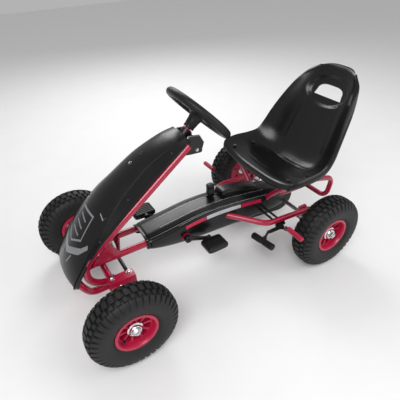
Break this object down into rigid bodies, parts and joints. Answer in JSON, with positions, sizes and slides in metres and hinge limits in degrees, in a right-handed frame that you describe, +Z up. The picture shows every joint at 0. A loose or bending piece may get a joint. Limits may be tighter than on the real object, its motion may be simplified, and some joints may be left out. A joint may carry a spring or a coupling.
{
  "type": "pedal go kart",
  "caption": "Child's pedal go kart: tube frame, bucket seat, moulded nose and chain cover, steering wheel, pedal crank, chain drive, hand brake and pneumatic tyres.",
  "frame": {"origin": "on the ground, under the middle of the kart's length, on its centre line", "axes": "+X forward, +Y to the driver's left, +Z up"},
  "size_m": [1.0987, 0.589, 0.6356],
  "materials": {
    "frame_red": "gloss powder coat",
    "frame_black": "satin powder coat",
    "plated": "zinc plated",
    "bearing_steel": "ground steel",
    "hub_steel": "bright plated",
    "drive_steel": "oiled steel",
    "nylon": "nylon bush",
    "body_black": "satin-gloss blow moulding",
    "seat_black": "gloss blow moulding",
    "case_grey": "textured moulding",
    "wheel_black": "soft-touch moulding",
    "rim_red": "gloss",
    "tyre": "moulded block tread",
    "pedal_black": "ribbed",
    "sleeve_red": "gloss sleeve",
    "brake_black": "satin",
    "grip_black": "moulded grip"
  },
  "bodies": {
    "frame": {"main_rails": "frame_red", "nose_tube_left": "frame_red", "nose_tube_right": "frame_red", "front_bumper": "frame_red", "front_axle_beam": "frame_red", "kingpins": "plated", "nose_gussets": "frame_red", "nose_saddle": "frame_red", "steering_head": "frame_black", "steering_bushes": "nylon", "side_tube_left": "frame_red", "side_tube_right": "frame_red", "axle_brackets": "frame_red", "axle_bearings": "bearing_steel", "seat_front_legs": "frame_red", "seat_rear_hoop": "frame_red", "crank_shells": "frame_red", "crank_bushes": "nylon", "brake_brackets": "frame_black", "brake_tie_bar": "frame_black", "nose_fairing": "body_black", "chain_cover": "body_black", "lever_housing": "body_black", "chain_case": "case_grey", "seat_shell": "seat_black", "seat_bolts": "plated", "drive_chain": "drive_steel", "lever_pivot": "frame_black"},
    "steering": {"steering_wheel": "wheel_black", "steering_column": "frame_black", "pitman_arm": "frame_black"},
    "left_knuckle": {"steering_knuckle_left": "frame_red", "stub_axle_left": "plated"},
    "right_knuckle": {"steering_knuckle_right": "frame_red", "stub_axle_right": "plated"},
    "tie_rod": {"tie_rod": "frame_black"},
    "front_wheel_left": {"front_tyre_left": "tyre", "front_rim_left": "rim_red", "front_hub_left": "hub_steel"},
    "front_wheel_right": {"front_tyre_right": "tyre", "front_rim_right": "rim_red", "front_hub_right": "hub_steel"},
    "rear_axle": {"rear_axle": "plated", "rear_sprocket": "drive_steel", "rear_tyre_left": "tyre", "rear_rim_left": "rim_red", "rear_hub_left": "hub_steel", "rear_tyre_right": "tyre", "rear_rim_right": "rim_red", "rear_hub_right": "hub_steel"},
    "crank": {"crank": "frame_black", "chainwheel": "drive_steel"},
    "pedal_left": {"pedal_left": "pedal_black"},
    "pedal_right": {"pedal_right": "pedal_black"},
    "brake": {"brake_bar": "frame_black", "brake_sleeves": "sleeve_red", "brake_lever": "brake_black", "brake_handle": "grip_black"},
    "hand_lever": {"hand_lever": "frame_black", "hand_lever_grip": "grip_black"}
  },
  "joints": [
    {"name": "steering", "type": "hinge", "parent": "frame", "child": "steering", "pos_m": [0.0887, 0, 0.511], "axis": [-0.7218, 0, 0.6921], "range_deg": [-40, 40]},
    {"name": "kingpin_left", "type": "hinge", "parent": "frame", "child": "left_knuckle", "pos_m": [0.4147, 0.098, 0.143], "axis": [0, 0, 1], "range_deg": [-24, 24]},
    {"name": "kingpin_right", "type": "hinge", "parent": "frame", "child": "right_knuckle", "pos_m": [0.4147, -0.098, 0.143], "axis": [0, 0, 1], "range_deg": [-24, 24]},
    {"name": "tie_rod_pin", "type": "hinge", "parent": "left_knuckle", "child": "tie_rod", "pos_m": [0.3617, 0.098, 0.147], "axis": [0, 0, 1], "range_deg": [-24, 24]},
    {"name": "front_wheel_left_spin", "type": "hinge", "parent": "left_knuckle", "child": "front_wheel_left", "pos_m": [0.4194, 0.2525, 0.13], "axis": [0, 1, 0], "continuous": true},
    {"name": "front_wheel_right_spin", "type": "hinge", "parent": "right_knuckle", "child": "front_wheel_right", "pos_m": [0.4194, -0.2525, 0.13], "axis": [0, 1, 0], "continuous": true},
    {"name": "rear_axle_spin", "type": "hinge", "parent": "frame", "child": "rear_axle", "pos_m": [-0.294, 0, 0.13], "axis": [0, 1, 0], "continuous": true},
    {"name": "crank_spin", "type": "hinge", "parent": "frame", "child": "crank", "pos_m": [0.1427, 0, 0.166], "axis": [0, 1, 0], "continuous": true},
    {"name": "pedal_left_spin", "type": "hinge", "parent": "crank", "child": "pedal_left", "pos_m": [0.06482, 0.108, 0.13453], "axis": [0, 1, 0], "continuous": true},
    {"name": "pedal_right_spin", "type": "hinge", "parent": "crank", "child": "pedal_right", "pos_m": [0.22058, -0.108, 0.19747], "axis": [0, 1, 0], "continuous": true},
    {"name": "brake_lever_pull", "type": "hinge", "parent": "frame", "child": "brake", "pos_m": [-0.1723, 0, 0.141], "axis": [0, -1, 0], "range_deg": [0, 28]},
    {"name": "hand_lever_swing", "type": "hinge", "parent": "frame", "child": "hand_lever", "pos_m": [-0.0013, -0.02, 0.214], "axis": [0, 1, 0], "range_deg": [-6, 12]}
  ],
  "couplings": [
    {"joint": "kingpin_left", "follows": "steering", "ratio": 0.6},
    {"joint": "kingpin_right", "follows": "steering", "ratio": 0.6},
    {"joint": "tie_rod_pin", "follows": "steering", "ratio": -0.6},
    {"joint": "crank_spin", "follows": "rear_axle_spin", "ratio": 0.77778}
  ]
}
